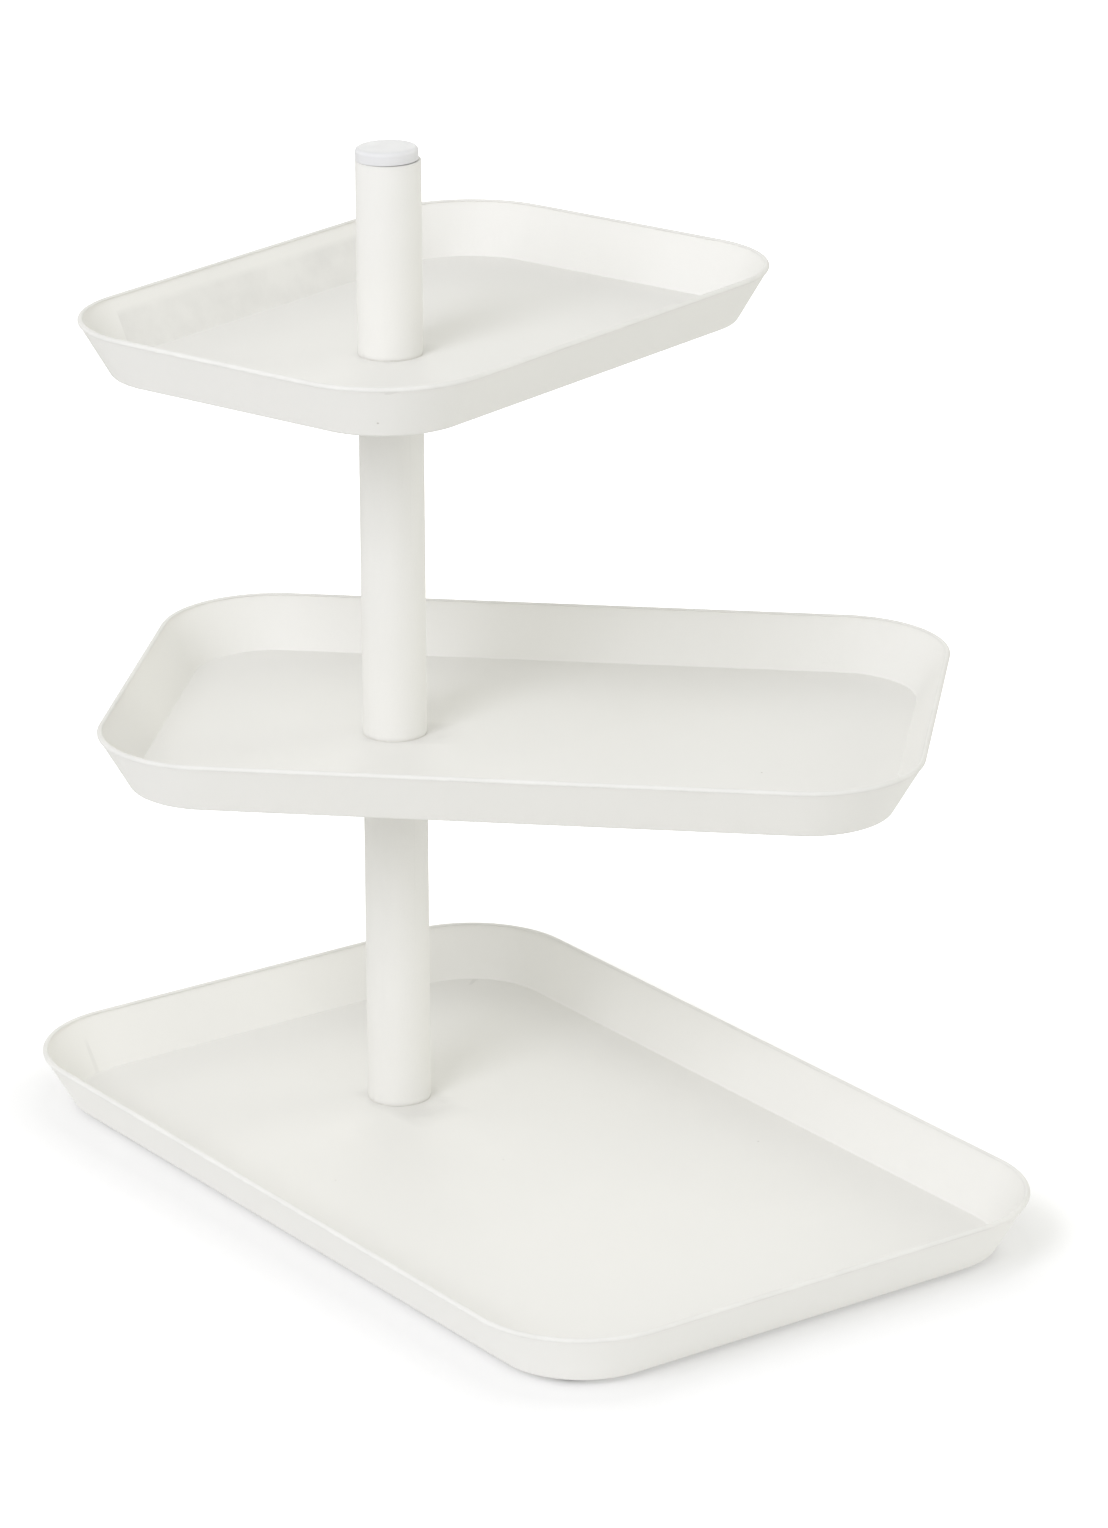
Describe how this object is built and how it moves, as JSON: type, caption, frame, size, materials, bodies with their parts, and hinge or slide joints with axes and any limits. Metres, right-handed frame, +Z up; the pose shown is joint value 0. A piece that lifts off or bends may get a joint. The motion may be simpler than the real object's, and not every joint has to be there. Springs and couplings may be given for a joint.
{
  "type": "tiered tray stand",
  "caption": "Tiered serving stand: flared rectangular metal trays that swivel on an off-centre tube post and fan out, with a hand hold on top.",
  "frame": {"origin": "middle of the stand's footprint with its trays fanned out, on the surface it stands on", "axes": "+Z up; +X along the base tray's long side, from the post towards its free end"},
  "size_m": [0.4018, 0.3372, 0.3892],
  "materials": {
    "powder_coat": "satin warm off-white powder coat on sheet steel and tube",
    "cap_plastic": "moulded, satin, a little cooler than the coat",
    "nylon": "natural milky nylon, smooth",
    "zinc_steel": "zinc plated, lightly dulled",
    "foot_rubber": "matte black"
  },
  "bodies": {
    "base_and_post": {"base_tray": "powder_coat", "lower_tube": "powder_coat", "middle_tube": "powder_coat", "handle_tube": "powder_coat", "end_cap": "cap_plastic", "lower_tube_foot_insert": "zinc_steel", "lower_tube_head_insert": "zinc_steel", "middle_tube_foot_insert": "zinc_steel", "middle_tube_head_insert": "zinc_steel", "handle_tube_foot_insert": "zinc_steel", "base_screw": "zinc_steel", "middle_stud": "zinc_steel", "top_stud": "zinc_steel", "base_washer": "nylon", "middle_lower_washer": "nylon", "middle_upper_washer": "nylon", "top_lower_washer": "nylon", "top_upper_washer": "nylon", "foot_front_left": "foot_rubber", "foot_front_right": "foot_rubber", "foot_rear_left": "foot_rubber", "foot_rear_right": "foot_rubber"},
    "middle_tray": {"middle_tray": "powder_coat"},
    "top_tray": {"top_tray": "powder_coat"}
  },
  "joints": [
    {"name": "middle_tray_swivel", "type": "hinge", "parent": "base_and_post", "child": "middle_tray", "pos_m": [-0.07108, -0.03881, 0.1546], "axis": [0, 0, 1], "continuous": true},
    {"name": "top_tray_swivel", "type": "hinge", "parent": "base_and_post", "child": "top_tray", "pos_m": [-0.07108, -0.03881, 0.3071], "axis": [0, 0, 1], "continuous": true}
  ]
}
